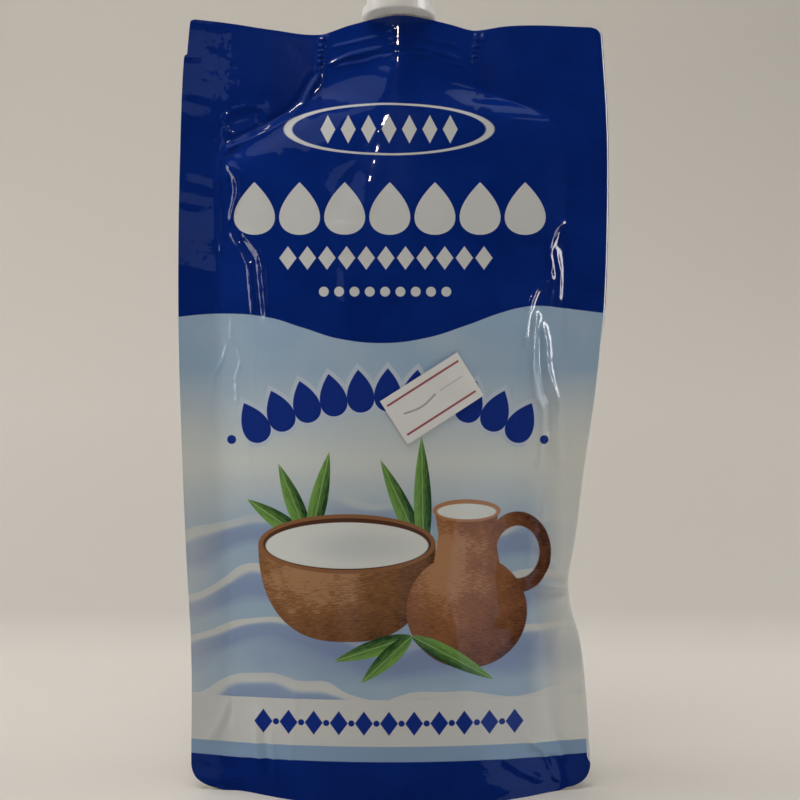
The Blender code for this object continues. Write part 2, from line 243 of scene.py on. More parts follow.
def film_y(x, height, side):
    """y of the outer face of the front film (side -1) or the back film (side 1), before its creases."""
    belly = FRONT_BELLY if side < 0 else BACK_BELLY
    return through(SEAL_DEPTH, height) + side * (film_depth(x, height, belly) + FILM / 2)


def shifted(x, height):
    """Height of a point of the film, once the cut top edge's wave is added."""
    return height + smooth(TOP_WAVE_START, POUCH_HEIGHT, height) * through(TOP_EDGE_RISE, x)


def print_place(x, y, z):
    """Where a point of the film lies on the flat printed web, in mm. The web spreads over the bulge."""
    spread = -EYE_Y / (y - EYE_Y)
    return x * spread / MM, (EYE_Z + (z - EYE_Z) * spread) / MM


# Creases of the front film. Each is (height in mm, half width in mm, points on the printed web in mm).
# A ridge has a positive height and a valley a negative one.
SHOULDER_CREASES = (
    (0.5, 0.8, ((-20.6, 182), (-22.3, 179), (-24.6, 174.6), (-27.4, 171.4), (-33.6, 167.9), (-39.6, 165),
                 (-43.6, 163.2), (-46, 160.7))),
    (-0.35, 0.8, ((-21.9, 182.6), (-25.8, 175.8), (-28.9, 172.7), (-34.4, 169.6), (-40.4, 166.8),
                  (-45.5, 164))),
    (-0.25, 2, ((-24, 171.6), (-29.5, 167.6), (-37, 163.4), (-43.5, 160.6))),
    (0.4, 0.5, ((-46, 161.2), (-46.2, 156.6), (-46.1, 150.2), (-45.9, 141.3), (-45.4, 134.4))),
    (-0.6, 3.2, ((-44, 170.6), (-38.5, 171.6), (-33.5, 170.8))),
    (0.22, 0.7, ((-45.4, 170.3), (-42.5, 173.2), (-39, 174.1), (-35.5, 173.4), (-32, 170.9))),
    (-0.3, 0.25, ((-54.6, 185.9), (-52.4, 185.7), (-50, 186))),
)
# These sparkle, because small puckers run along them.
PUCKERED_CREASES = (
    (0.5, 0.65, ((-19, 194.5), (-19.9, 188.9), (-20.5, 181.6))),
    (0.5, 0.65, ((19.6, 194.5), (19.3, 188.9), (18.9, 183.2))),
    (0.34, 0.6, ((21, 194.5), (21.3, 191.4), (20.6, 188.4))),
    (0.5, 0.5, ((-2.3, 196.2), (-2.3, 191), (-2.4, 185.6))),
)
PUCKER_PITCH = 1.55
PUCKER_SHARE = 0.5
BOAT_CREASES = (
    (0.1, 1.4, ((-2.4, 185.6), (-3.2, 181), (-3.8, 174.5))),
    (0.24, 0.5, ((-17.6, 188.8), (-4.8, 191.8))),
    (0.24, 0.5, ((4.3, 191.8), (16.2, 188.9))),
    (0.42, 0.5, ((-18.4, 184.4), (-13.3, 186.7), (-4, 189))),
    (0.38, 0.5, ((2, 189.3), (7.5, 188.3), (16.6, 185.5))),
    (0.34, 0.4, ((-16.4, 184), (-8.4, 185.5), (-3.2, 187.8))),
    (0.3, 0.4, ((1.2, 187.8), (10.9, 186.1))),
    (0.3, 0.4, ((11.2, 185.4), (17.6, 183.9))),
    (-0.3, 0.6, ((-14, 185.2), (-4, 187.5), (-1.2, 188.3), (4, 188.2))),
)
LEFT_FOLDS = (
    (0.45, 0.6, ((-44.1, 159.1), (-41.8, 155.8), (-41.3, 152.2), (-42.6, 147.6), (-43.4, 143.5))),
    (-0.35, 0.7, ((-43.6, 156), (-42.8, 153), (-43.4, 149.6))),
    (0.22, 0.6, ((-43.8, 159.6), (-39.5, 156.3), (-35.2, 151.2), (-33.4, 147))),
    (0.38, 0.5, ((-43.2, 142), (-40, 136.9), (-38.5, 133.4), (-38, 127.2), (-37.2, 119))),
    (0.44, 0.5, ((-40.2, 142), (-36.2, 137.4), (-35.2, 133.9), (-34.7, 127.2), (-33.9, 118.5))),
    (-0.45, 0.8, ((-40.8, 140.4), (-37.2, 134.6), (-36.4, 127.2), (-35.5, 118.5))),
    (0.16, 0.4, ((-46.6, 123.5), (-45.9, 118.5), (-44, 113.4), (-45.1, 109.4), (-47.7, 104.8),
                 (-48.4, 97.5))),
    (0.16, 0.4, ((-42.8, 121), (-43.1, 115), (-41.3, 112.5), (-40.5, 108.9), (-41.8, 105), (-41.2, 96))),
    (0.14, 0.4, ((-44.4, 112.4), (-42.8, 110.6), (-41.4, 111.6))),
    (0.12, 0.4, ((-37.4, 118), (-36.6, 112), (-37.8, 107), (-37, 101))),
    (0.14, 0.8, ((-45.6, 98), (-44.6, 88), (-45.2, 72))),
    (0.18, 0.7, ((-41.2, 97), (-38.9, 90), (-38.2, 78))),
    (0.12, 0.8, ((-35, 104), (-34.4, 92), (-35.2, 80))),
)
RIGHT_FOLDS = (
    (0.62, 0.65, ((42.6, 144.6), (40.8, 144), (39.5, 142.3), (38.5, 139.5), (38.1, 136.7), (38.6, 133.1),
                 (38.4, 130.8), (37, 129), (34.8, 127.5), (33.4, 124.2), (32.6, 120.1), (31.6, 112))),
    (0.5, 0.9, ((39.6, 138), (40.1, 134.6), (40.8, 131.8), (40.6, 127.7), (40.2, 122.6))),
    (0.28, 0.6, ((39, 132), (39, 128.5), (37.7, 122.4))),
    (-0.5, 0.7, ((40.9, 142.4), (40.3, 140), (40.2, 138.8))),
    (0.85, 0.8, ((34.7, 121.6), (34.2, 116.3), (33.9, 107.9), (34.7, 100.2), (36.5, 97.4), (36.4, 90),
                 (35, 80))),
    (0.7, 0.7, ((36.2, 118.6), (37.2, 113.7), (37.5, 107.9), (38, 105.3), (39.5, 101.5), (40.5, 97.4),
                 (40, 91), (40.6, 82))),
    (-0.5, 1, ((35.6, 117), (35.8, 109), (36.6, 101.6), (38.4, 97.6), (38.2, 89))),
    (0.2, 0.6, ((43.2, 141), (43, 128), (42.6, 112))),
    (0.2, 0.6, ((43.5, 137.5), (45.2, 133.6), (44.4, 131.2))),
    (0.16, 0.9, ((29, 104), (28.6, 92), (29.6, 78))),
    (0.16, 0.9, ((45.8, 118), (45, 100), (43.8, 80))),
)
WAIST_FOLDS = (
    (0.5, 0.7, ((42.6, 53.6), (40, 55.8), (36.6, 59), (34.4, 63))),
    (-0.45, 0.8, ((42.6, 52.4), (39, 53.6), (34, 56.4))),
    (0.55, 0.6, ((42.6, 51.4), (39.4, 51.6), (33.4, 52.6))),
    (-0.45, 0.8, ((42.6, 50.2), (38.6, 49.4), (33.4, 48.2))),
    (0.5, 0.6, ((42.6, 48.8), (39.4, 46.2), (34.8, 40.8), (32.2, 36.2))),
    (0.4, 0.7, ((43.2, 46.6), (41.4, 42.6), (39.4, 37.6), (38.8, 31))),
    (0.18, 0.6, ((38.2, 62.6), (36.2, 68), (36.8, 74))),
)
FOOT_FOLDS = (
    (0.18, 0.8, ((-28, 34), (-26.3, 22.7), (-27.5, 12.5), (-28.5, 2))),
    (0.18, 0.8, ((-42, 40), (-43.5, 33), (-41.8, 25), (-42.6, 14))),
    (0.3, 0.8, ((-48.6, 12.6), (-45.6, 17.4), (-43.2, 24.6))),
    (-0.25, 0.8, ((-46.6, 12.2), (-44, 16.8), (-42, 22.4))),
    (0.35, 0.8, ((-36.2, 21), (-36.8, 12), (-35, 3))),
    (-0.35, 0.8, ((-34.6, 14.6), (-34, 8.6), (-33.2, 3.6))),
    (0.3, 0.7, ((-33, 15), (-32.2, 8.4), (-31.4, 2.6))),
    (0.3, 1.1, ((-45.4, 9.4), (-41.4, 7.8), (-38.4, 9.2))),
    (0.45, 0.9, ((-45, 2), (-41.6, 3.6), (-38.4, 2.2))),
    (0.3, 0.8, ((31, 14.6), (36.4, 9.8), (38.6, 5), (40.2, 1.4))),
    (-0.35, 0.9, ((39.4, 14.6), (41.8, 10), (44.6, 6.4))),
    (0.3, 0.9, ((33, 11.6), (37.6, 9.8), (42.4, 9.2))),
    (0.3, 0.8, ((26, 8), (31, 4.6), (37, 2.4))),
    (0.16, 0.8, ((29, 24), (33, 17), (34, 10))),
)
# Small pinches that catch a glint, under the boat and across the middle.
PINCHES = (
    (0.14, 1.5, ((-6, 169), (-5.8, 164.5))),
    (0.16, 1.5, ((-9.4, 155), (-6.4, 153.2))),
    (0.22, 1.6, ((-18, 150.8), (-15.6, 149.6))),
)
BROAD_HOLLOWS = (
    (0.24, 3.4, ((-2.4, 184), (-4, 175), (-6, 165), (-7.6, 156), (-8.2, 146))),
    (0.2, 3.5, ((-20, 152.5), (-14, 158.5), (-9, 162.5))),
    (-0.25, 4.5, ((-30, 160.5), (-22, 166), (-17, 172))),
    (-0.25, 4, ((20, 176.5), (30, 173), (40, 164))),
    (0.2, 3.5, ((-14.5, 145), (-15, 132), (-14.5, 118))),
    (-0.3, 5, ((33, 140), (32, 132), (29, 124))),
    (-0.2, 3, ((-30, 152), (-29, 140), (-30, 126))),
)
FRONT_CREASES = (
    *SHOULDER_CREASES, *BOAT_CREASES, *LEFT_FOLDS, *RIGHT_FOLDS, *WAIST_FOLDS, *FOOT_FOLDS,
    *PINCHES, *BROAD_HOLLOWS, *((*values, PUCKER_SHARE) for values in PUCKERED_CREASES),
)
# The back film's slack pulls, which run from the shoulders and the waist.
BACK_CREASES = (
    (0.5, 0.9, ((-20, 182), (-26, 173), (-36, 167), (-45, 160))),
    (0.5, 0.9, ((20, 182), (26, 173), (36, 167), (43, 160))),
    (0.45, 1, ((-38, 140), (-34, 126), (-36, 108))),
    (0.45, 1, ((37, 146), (34, 130), (36, 112), (34, 98))),
    (0.5, 0.9, ((42.6, 54), (37, 54), (30, 57))),
    (0.4, 0.9, ((42.8, 49), (37, 47), (31, 46))),
    (-0.4, 4, ((-25, 100), (-12, 96), (6, 99))),
    (0.3, 3, ((-20, 62), (-4, 58), (14, 62))),
)
BROAD = 1.4  # mm of half width from which a crease is round
SEAL_STEP = 0.07  # mm that the filled part starts proud of the flat seal
SEAL_STEP_WIDTH = 1.2  # mm
STRAIN = 0.05  # mm of fine pull lines beside the seals
STRAIN_REACH = 4.0  # mm
SEAL_WAVE = 0.035  # mm that the flat seals waver


def crease(x, z, height, half_width, points, pucker=0.0):
    """One crease's height over the printed web. It rises at its start, runs out at its end and may be
    puckered. A narrow one has a crest, and a broad one is round."""
    points = np.array(points, dtype=float)
    run = np.concatenate([[0.0], np.cumsum(np.linalg.norm(np.diff(points, axis=0), axis=1))])
    nearest = np.full(x.shape, np.inf)
    along = np.zeros(x.shape)
    for k in range(len(points) - 1):
        start, step = points[k], points[k + 1] - points[k]
        share = np.clip(((x - start[0]) * step[0] + (z - start[1]) * step[1]) / (step @ step), 0.0, 1.0)
        away = np.hypot(x - start[0] - share * step[0], z - start[1] - share * step[1])
        closer = away < nearest
        nearest = np.where(closer, away, nearest)
        along = np.where(closer, run[k] + share * (run[k + 1] - run[k]), along)
    ends = smooth(0.0, 2.0, along + 0.7) * smooth(0.0, 4.0, run[-1] - along + 0.4)
    beads = 1.0 + pucker * np.sin(2 * math.pi * along / PUCKER_PITCH + 1.3 * np.sin(along * 0.9))
    roundness = 1.4 if half_width < BROAD else 2.0
    return height * ends * beads * np.exp(-((nearest / half_width) ** roundness))


def relief_of(creases, x, z):
    """Height of all of one film's creases together, in millimetres."""
    total = np.zeros_like(x)
    for values in creases:
        total = total + crease(x, z, *values)
    return total


def seal_texture(x, z, height, left, right):
    """The step up from the flat seal to the filled part, and fine strain lines beside it."""
    inner_left = (left / MM) + SIDE_SEAL / MM
    inner_right = (right / MM) - SIDE_SEAL / MM
    step = smooth(0.0, SEAL_STEP_WIDTH, x - inner_left) * smooth(0.0, SEAL_STEP_WIDTH, inner_right - x)
    beside = sum(np.exp(-((away / STRAIN_REACH) ** 2)) for away in (x - inner_left, inner_right - x))
    lines = np.sin(z * 1.9 + 0.8 * np.sin(z * 0.37)) * np.sin(z * 0.23 + 1.0)
    waver = np.sin(z * 0.9 + x * 0.35 + 1.6 * np.sin(z * 0.21)) * np.sin(z * 0.13 - x * 0.2)
    return step * (SEAL_STEP + STRAIN * beside * lines) + (1.0 - step) * SEAL_WAVE * waver


def spaced(count, length, steps, position):
    """Places along a length whose spacing follows a table of steps, read at each place's position."""
    fine = np.linspace(0.0, length, SPACING_POINTS)
    density = 1.0 / np.interp(position(fine), *np.array(steps).T)
    passed = np.concatenate([[0.0], np.cumsum((density[1:] + density[:-1]) / 2)])
    return np.interp(np.linspace(0.0, passed[-1], count + 1), passed, fine) / length


def film_points(side):
    """Points of one film as a grid, from the foot up and from left to right, with the web places."""
    width = RIGHT_EDGE[-1][1] - LEFT_EDGE[-1][1]
    across = spaced(COLUMNS, width, COLUMN_STEPS, lambda at: np.minimum(at, width - at))[None, :]
    height = POUCH_HEIGHT * spaced(ROWS, POUCH_HEIGHT, ROW_STEPS, lambda at: at)[:, None]
    height = height + np.zeros_like(across)
    left, right = side_edges(height)
    left = left + NICK * smooth(NICK_HEIGHT - NICK_RUN, NICK_HEIGHT + NICK_RUN, height)
    if side > 0:
        right = right + OVERHANG * smooth(*OVERHANG_START, height)
    else:
        right = right - np.interp(height, *np.array(SHORTFALL).T)
    x = left + (right - left) * across
    past_left, past_right = (smooth(at - STEP_RUN, at + STEP_RUN, x) for at in (STEP_LEFT, STEP_RIGHT))
    between = past_left * (1.0 - past_right)
    z = shifted(x, height) + STEP_RISE * (1.0 - between) * (1.0 - smooth(0.0, STEP_HEIGHT, height))
    y = film_y(x, height, side)
    web_x, web_z = print_place(x, y, z)
    relief = relief_of(FRONT_CREASES, web_x, web_z) if side < 0 else relief_of(BACK_CREASES, x / MM, z / MM)
    plain_left, plain_right = through(LEFT_EDGE, height), through(RIGHT_EDGE, height)
    relief = relief + seal_texture(x / MM, z / MM, height, plain_left, plain_right)
    free = smooth(0.0, FLAT_SIDE, np.minimum(x - left, right - x)) * smooth(0.0, FLAT_FOOT, height)
    free = free * smooth(0.0, FLAT_TOP, POUCH_HEIGHT - height)
    y = y + side * relief * MM * free
    if side > 0:
        web_x, web_z = print_place(x, through(SEAL_DEPTH, height), z)
    return np.stack([x, y, z], axis=-1), np.stack([web_x, web_z], axis=-1)


def top_lines(front, back):
    """Lines of points over the top: the cut edges, then the pocket that the spout's boat sits in."""
    front_top, back_top = front[-1], back[-1]
    x = front_top[:, 0]
    middle = through(SEAL_DEPTH, BOAT_TOP)
    half = boat_depth(x) - FILM
    open_here = half > BOAT_TIP
    half = np.maximum(half, 0.0)
    floor = np.where(open_here, POCKET_FLOOR, front_top[:, 2])
    lines = []
    for side, top in ((-1, front_top), (1, back_top)):
        inner = top.copy()
        inner[:, 1] = np.where(open_here, middle + side * half, (front_top[:, 1] + back_top[:, 1]) / 2)
        bottom = inner.copy()
        bottom[:, 2] = floor
        lines.append((inner, bottom))
    return [front_top, lines[0][0], lines[0][1], lines[1][1], lines[1][0], back_top]


def underside_lines(front, back):
    """Lines of points under the pouch: the skirt's foot, the groove behind it and the gusset's belly."""
    near, far = front[0], back[0]
    half = (far[:, 1] - near[:, 1]) / 2
    squeeze = np.minimum(1.0, half / GROOVE_FULL_DEPTH)
    depth = smooth(GROOVE_SHALLOW_DEPTH, GROOVE_FULL_DEPTH, half)
    front_lines, back_lines = [], []
    for offset in GROOVE_OFFSETS:
        rise = smooth(SKIRT_FOOT, GROOVE_WALL, offset) * (1.0 - smooth(GROOVE_CREST, GROOVE_END, offset))
        inner = [line.copy() for line in (near, far)]
        for line, inward in zip(inner, (1, -1)):
            line[:, 1] += inward * offset * squeeze
            line[:, 2] += GUSSET_GROOVE * rise * depth
            line[[0, -1]] = (near if inward > 0 else far)[[0, -1]]
        front_lines.append(inner[0])
        back_lines.insert(0, inner[1])
    middle = (near + far) / 2
    middle[[0, -1]] = near[[0, -1]]
    return [near, *front_lines, middle, *back_lines, far]


FRONT, BACK, CUT, GUSSET, BARE = range(5)


def quads(number):
    """Faces between the neighbours of a grid of point numbers."""
    corners = [number[:-1, :-1], number[:-1, 1:], number[1:, 1:], number[1:, :-1]]
    return np.stack(corners, axis=-1).reshape(-1, 4)


def coarse_faces(number, skip):
    """Larger faces over the same grid, which still take every point along the grid's four borders."""
    rows, columns = number.shape[0] - 1, number.shape[1] - 1
    faces = []
    for i in range(0, rows, skip):
        for j in range(0, columns, skip):
            below = range(j, j + skip, 1 if i == 0 else skip)
            right = range(i, i + skip, 1 if j + skip == columns else skip)
            above = range(j + skip, j, -1 if i + skip == rows else -skip)
            left = range(i + skip, i, -1 if j == 0 else -skip)
            face = [number[i, k] for k in below] + [number[k, j + skip] for k in right]
            faces.append(face + [number[i + skip, k] for k in above] + [number[k, j] for k in left])
    return faces


def edge_lines(front_edge, back_edge):
    """Two lines along the right edge, which bound the bare white of both films' cuts."""
    middle = (front_edge[:, 0] + back_edge[:, 0]) / 2
    inner = front_edge + np.array([WHITE_LINE, WHITE_TUCK, 0.0])
    inner[:, 0] = np.minimum(inner[:, 0], middle)
    outer = back_edge.copy()
    white = WHITE_LINE * (1.0 - smooth(*WHITE_END, back_edge[:, 2]))
    outer[:, 0] = np.maximum(outer[:, 0] - white, middle)
    outer[:, 1] -= WHITE_TUCK
    for line in (inner, outer):
        line[[0, -1]] = front_edge[[0, -1]]
    return inner, outer


def make_pouch(shift):
    """The film as one closed skin, with a material for each film, its edges and the gusset."""
    front, front_web = film_points(-1)
    back, back_web = film_points(1)
    inner, outer = edge_lines(front[:, -1], back[:, -1])
    sheets = [(front, front_web, FRONT), (back, back_web, BACK)]
    for lines, slot in (
        (top_lines(front, back), CUT),
        (underside_lines(front, back), GUSSET),
        ([front[:, 0], back[:, 0]], CUT),
        ([front[:, -1], inner], BARE),
        ([inner, outer], BACK),
        ([outer, back[:, -1]], BARE),
    ):
        grid = np.stack(lines)
        sheets.append((grid, grid[..., [0, 2]] / MM, slot))
    return make_piece("film", sheets, shift, coarse=back)


def make_piece(name, sheets, shift, coarse=None):
    """A closed piece from sheets, each a grid of points with its web places (mm) and material slot.
    The web places are kept in a UV map. One sheet may have coarser faces."""
    points, webs, faces, slots = [], [], [], []
    count = 0
    for grid, web, slot in sheets:
        number = count + np.arange(grid.shape[0] * grid.shape[1]).reshape(grid.shape[:2])
        added = coarse_faces(number, BACK_SKIP) if grid is coarse else quads(number).tolist()
        faces += added
        slots += [slot] * len(added)
        points.append(grid.reshape(-1, 3))
        webs.append(web.reshape(-1, 2))
        count += number.size
    mesh = bpy.data.meshes.new(name)
    mesh.from_pydata(np.concatenate(points) + shift, [], faces)
    mesh.polygons.foreach_set("material_index", slots)
    corners = np.zeros(len(mesh.loops), dtype=np.int64)
    mesh.loops.foreach_get("vertex_index", corners)
    places = np.concatenate(webs)[corners] / WEB_UNIT
    mesh.uv_layers.new(name="web").data.foreach_set("uv", places.ravel())
    weld_skin(mesh)
    return add_object(name, mesh)


def add_object(name, data):
    """A new object in the scene, of this mesh, lamp or camera."""
    added = bpy.data.objects.new(name, data)
    bpy.context.scene.collection.objects.link(added)
    return added


def weld_skin(mesh):
    """Joins the sheets along their shared edges and turns every face outwards."""
    work = bmesh.new()
    work.from_mesh(mesh)
    bmesh.ops.remove_doubles(work, verts=work.verts, dist=WELD_DISTANCE)
    bmesh.ops.dissolve_degenerate(work, edges=work.edges, dist=SLIVER)
    bmesh.ops.delete(work, geom=[vert for vert in work.verts if not vert.link_faces], context="VERTS")
    bmesh.ops.recalc_face_normals(work, faces=work.faces)
    work.to_mesh(mesh)
    work.free()
    mesh.shade_smooth()
    mesh.set_sharp_from_angle(angle=math.radians(SHARP_ANGLE))


class Wire:
    """A number that shader nodes work out, so that the print's shapes can be written as formulas."""

    def __init__(self, tree, socket):
        self.tree = tree
        self.socket = socket

    def math(self, operation, *values, clamp=False):
        inputs = dict(enumerate(values))
        return wire_from(self.tree, "ShaderNodeMath", inputs, operation=operation, use_clamp=clamp)

    def __add__(self, other):
        return self.math("ADD", self, other)

    def __sub__(self, other):
        return self.math("SUBTRACT", self, other)

    def __rsub__(self, other):
        return self.math("SUBTRACT", other, self)

    def __mul__(self, other):
        return self.math("MULTIPLY", self, other)

    __radd__, __rmul__ = __add__, __mul__

    def __truediv__(self, other):
        return self.math("DIVIDE", self, other)

    def __pow__(self, other):
        return self.math("POWER", self, other)

    def __abs__(self):
        return self.math("ABSOLUTE", self)

    def least(self, other):
        return self.math("MINIMUM", self, other)

    def most(self, other):
        return self.math("MAXIMUM", self, other)

    def held(self):
        """Kept between 0 and 1."""
        return self.math("ADD", self, 0.0, clamp=True)

    def repeat(self, pitch):
        """Distance from the middle of the nearest of many cells, this far apart."""
        return self.math("WRAP", self, pitch / 2, -pitch / 2)


def feed(tree, node, inputs):
    """Joins a wire to each of these sockets of a node, or leaves a plain value on it."""
    for name, value in inputs.items():
        if isinstance(value, Wire):
            tree.links.new(value.socket, node.inputs[name])
        else:
            node.inputs[name].default_value = value


def add_node(tree, kind, inputs, **settings):
    """A shader node with these settings and inputs."""
    node = tree.nodes.new(kind)
    for name, value in settings.items():
        setattr(node, name, value)
    feed(tree, node, inputs)
    return node


def wire_from(tree, kind, inputs, output=0, **settings):
    """What comes out of such a node."""
    return Wire(tree, add_node(tree, kind, inputs, **settings).outputs[output])


# Sockets of a node that mixes colours: its share and two colours, and the colour that comes out
MIX_INPUTS = (0, 6, 7)
MIX_OUTPUT = 2


def mixed(tree, first, second, share):
    """A colour between two others."""
    inputs = dict(zip(MIX_INPUTS, (share, first, second)))
    return wire_from(tree, "ShaderNodeMix", inputs, MIX_OUTPUT, data_type="RGBA")


def inside(distance, blur=0.12):
    """1 where a distance is below zero, 0 where it is above, with a soft edge in between."""
    return distance.math("MULTIPLY_ADD", distance, -1.0 / blur, 0.5, clamp=True)


def linear(value):
    """Linear light of one 0 to 255 channel."""
    share = value / 255.0
    return share / 12.92 if share <= 0.04045 else ((share + 0.055) / 1.055) ** 2.4


DIMNESS = 0.435


def ink(red, green, blue):
    """Albedo of an ink that reads as this colour in the dim light the pouch is seen in."""
    return (*(min(0.9, linear(value) / DIMNESS) for value in (red, green, blue)), 1.0)


class Print:
    """A printed web: a base colour and the shapes laid over it, in millimetres."""

    def __init__(self, tree, colour):
        self.tree = tree
        place = wire_from(tree, "ShaderNodeUVMap", {}, uv_map="web")
        inputs = {0: place, "Scale": WEB_UNIT}
        self.place = wire_from(tree, "ShaderNodeVectorMath", inputs, operation="SCALE")
        self.x, self.z = self.split(self.place)
        self.colour = colour

    def split(self, vector):
        node = add_node(self.tree, "ShaderNodeSeparateXYZ", {0: vector})
        return Wire(self.tree, node.outputs[0]), Wire(self.tree, node.outputs[1])

    def local(self, centre, size=(1.0, 1.0), turn=0.0):
        """The place seen from a shape's own centre, in units of its own size, turned with it."""
        inputs = {
            "Vector": self.place,
            "Location": (*centre, 0.0),
            "Rotation": (0.0, 0.0, math.radians(turn)),
            "Scale": (*size, 1.0),
        }
        return wire_from(self.tree, "ShaderNodeMapping", inputs, vector_type="TEXTURE")

    def ellipse(self, centre, size, turn=0.0):
        """Roughly the distance in millimetres outside an ellipse of these half sizes."""
        inputs = {0: self.local(centre, size, turn)}
        length = wire_from(self.tree, "ShaderNodeVectorMath", inputs, "Value", operation="LENGTH")
        return (length - 1.0) * min(size)

    def noise(self, scale, detail=3.0, stretch=(1.0, 1.0), turn=0.0, roughness=0.55):
        """Cloudy noise with this many lumps a millimetre, which may be stretched along a direction."""
        place = self.local((0.0, 0.0), stretch, turn)
        inputs = {"Vector": place, "Scale": scale, "Detail": detail, "Roughness": roughness}
        return wire_from(self.tree, "ShaderNodeTexNoise", inputs, "Fac", noise_dimensions="2D")

    def curve(self, value, points):
        """A drawn curve through (0 to 1, 0 to 1) points."""
        node = add_node(self.tree, "ShaderNodeFloatCurve", {"Value": value})
        line = node.mapping.curves[0]
        while len(line.points) < len(points):
            line.points.new(0.5, 0.5)
        for point, (across, up) in zip(line.points, points):
            point.location = (across, up)
        node.mapping.update()
        return Wire(self.tree, node.outputs[0])

    def mixed(self, first, second, share):
        return mixed(self.tree, first, second, share)

    def lay(self, colour, mask):
        """Prints a colour over what is there, where the mask is 1."""
        self.colour = self.mixed(self.colour, colour, mask)

    def drop(self, across, up, width, height):
        """Distance outside an upright drop, round below and pointed above."""
        rise = (up / height + 0.5).held()
        outline = abs(across) - rise**0.5 * (1.0 - rise) * (1.3 * width)
        return outline.most(abs(up) - height / 2)

    def leaf(self, base, tip, width):
        """Distance outside a pointed leaf, the place across and along it, and its turn in degrees."""
        reach = math.hypot(tip[0] - base[0], tip[1] - base[1])
        turn = math.degrees(math.atan2(tip[1] - base[1], tip[0] - base[0]))
        along, across = self.split(self.local(base, (reach, reach), turn))
        bow = along.held()
        outline = abs(across * reach) - bow**0.7 * (1.0 - bow) * (1.05 * width)
        return outline.most((abs(along - 0.5) - 0.5) * reach), across * reach, bow, turn


NAVY_DEEP = ink(0, 19, 74)
NAVY_HAZE = ink(6, 32, 97)
NAVY_TEXT = ink(14, 34, 98)
WHITE = ink(150, 152, 151)
PALE_TOP = ink(113, 133, 152)
PALE_MIDDLE = ink(152, 158, 157)
PALE_LOW = ink(109, 129, 147)
PALE_SIDE = ink(163, 165, 161)
PALE_RIM = ink(138, 148, 160)
PERIWINKLE = ink(90, 103, 134)
STRIPE_BLUE = ink(99, 120, 143)
RED = ink(112, 44, 50)
MILK = ink(162, 166, 164)

# The pale field's upper and lower blue: where each starts and how far it takes to deepen, in mm
UPPER_BLUE = (85.0, 22.0)
LOWER_BLUE = (82.0, 14.0)
# Tops of the white band, the stripe and the dark foot, and the row on the band: (height, sag) in mm
BAND_TOP = (24.4, 1.7)
STRIPE_TOP = (12.9, 2.1)
FOOT_TOP = (9.3, 2.4)
BAND_ROW = (18.6, 1.9)
SAG_MIDDLE = -2.6
SAG_HALF_WIDTH = 50.0
# Middles of the printed ornaments: (x, z) on the web in mm
EMBLEM = (-2.8, 168.2)
DROPS = (-2.6, 148.0)
LOZENGES = (-3.6, 135.4)
DOTS = (-3.8, 126.8)
ARCH = (-3.1, 27.1)
ARCH_RADIUS = 74.7
BAND_ROW_X = -2.8
PANEL = (-2.8, 66.0)
BOWL = (-13.5, 62.5)
JUG = (17.0, 45.5)

# Lower border of the dark field: (x, z) on the web in mm
WAVE = (
    (-56.3, 120.4), (-44.2, 121.2), (-34.4, 120.4), (-24.7, 117.6), (-15.0, 114.7), (-3.8, 113.7),
    (6.6, 115.0), (16.6, 118.1), (26.3, 121.6), (31.1, 122.8), (35.9, 123.2), (40.8, 122.7),
    (51.5, 121.4),
)
# The wave's curve is drawn in a box: half its width, its lowest height and its tallness
WAVE_BOX = (60.0, 100.0, 40.0)


def bent(page, height, sag):
    """A line across the web at a height that sags in its middle."""
    return height - sag * (1.0 - ((page.x - SAG_MIDDLE) / SAG_HALF_WIDTH) ** 2)


def lozenge(across, up, half_width, half_height):
    """Below zero inside a lozenge, 0 on its outline and 1 at twice its size."""
    return abs(across) / half_width + abs(up) / half_height - 1.0


def dot(across, up, radius):
    """Distance outside a round dot."""
    return (across**2.0 + up**2.0) ** 0.5 - radius


def print_fields(page):
    """The fields of colour that both films share: dark top, pale middle, white band, stripe and dark foot."""
    upper = ((page.z - UPPER_BLUE[0]) / UPPER_BLUE[1]).held()
    lower = ((LOWER_BLUE[0] - page.z) / LOWER_BLUE[1]).held()
    page.lay(PALE_TOP, upper)
    page.lay(PALE_LOW, lower * 0.9)
    page.lay(PALE_MIDDLE, (page.noise(0.05, 1.0) - 0.45) * 0.6)
    ripples(page)
    page.lay(PALE_SIDE, inside(37.0 - page.x, 9.0) * (1.0 - upper) * 0.9)
    page.lay(PALE_SIDE, inside(page.x + 48.5, 9.0) * (1.0 - upper) * 0.35)
    half, low, tall = WAVE_BOX
    stations = [((x + half) / (2 * half), (z - low) / tall) for x, z in WAVE]
    border = page.curve((page.x + half) / (2 * half), stations) * tall + low
    navy = page.mixed(NAVY_DEEP, NAVY_HAZE, page.noise(0.06, 3.0))
    page.lay(navy, inside(border - page.z))
    band = page.mixed(WHITE, PALE_SIDE, inside(37.0 - page.x, 12.0))
    page.lay(band, inside(page.z - bent(page, *BAND_TOP)))
    page.lay(STRIPE_BLUE, inside(page.z - bent(page, *STRIPE_TOP)))
    page.lay(navy, inside(page.z - bent(page, *FOOT_TOP)))


def ripples(page):
    """Flowing waves of milk in the lower part of the pale field: white crests with periwinkle under them."""
    wobble = (page.noise(0.035, 2.0, (1.6, 1.0)) - 0.5) * 16.0
    rise = page.z + page.x.math("SINE", page.x * 0.075 + 0.9) * 3.4 + wobble
    wave = (rise / 13.0).math("FRACT", rise / 13.0)
    in_pool = inside(page.z - 70.0 - wobble * 0.5, 8.0)
    page.lay(PERIWINKLE, in_pool * inside(abs(wave - 0.62) - 0.22, 0.22) * 0.7)
    page.lay(WHITE, in_pool * inside(0.84 - wave, 0.07) * 0.9)


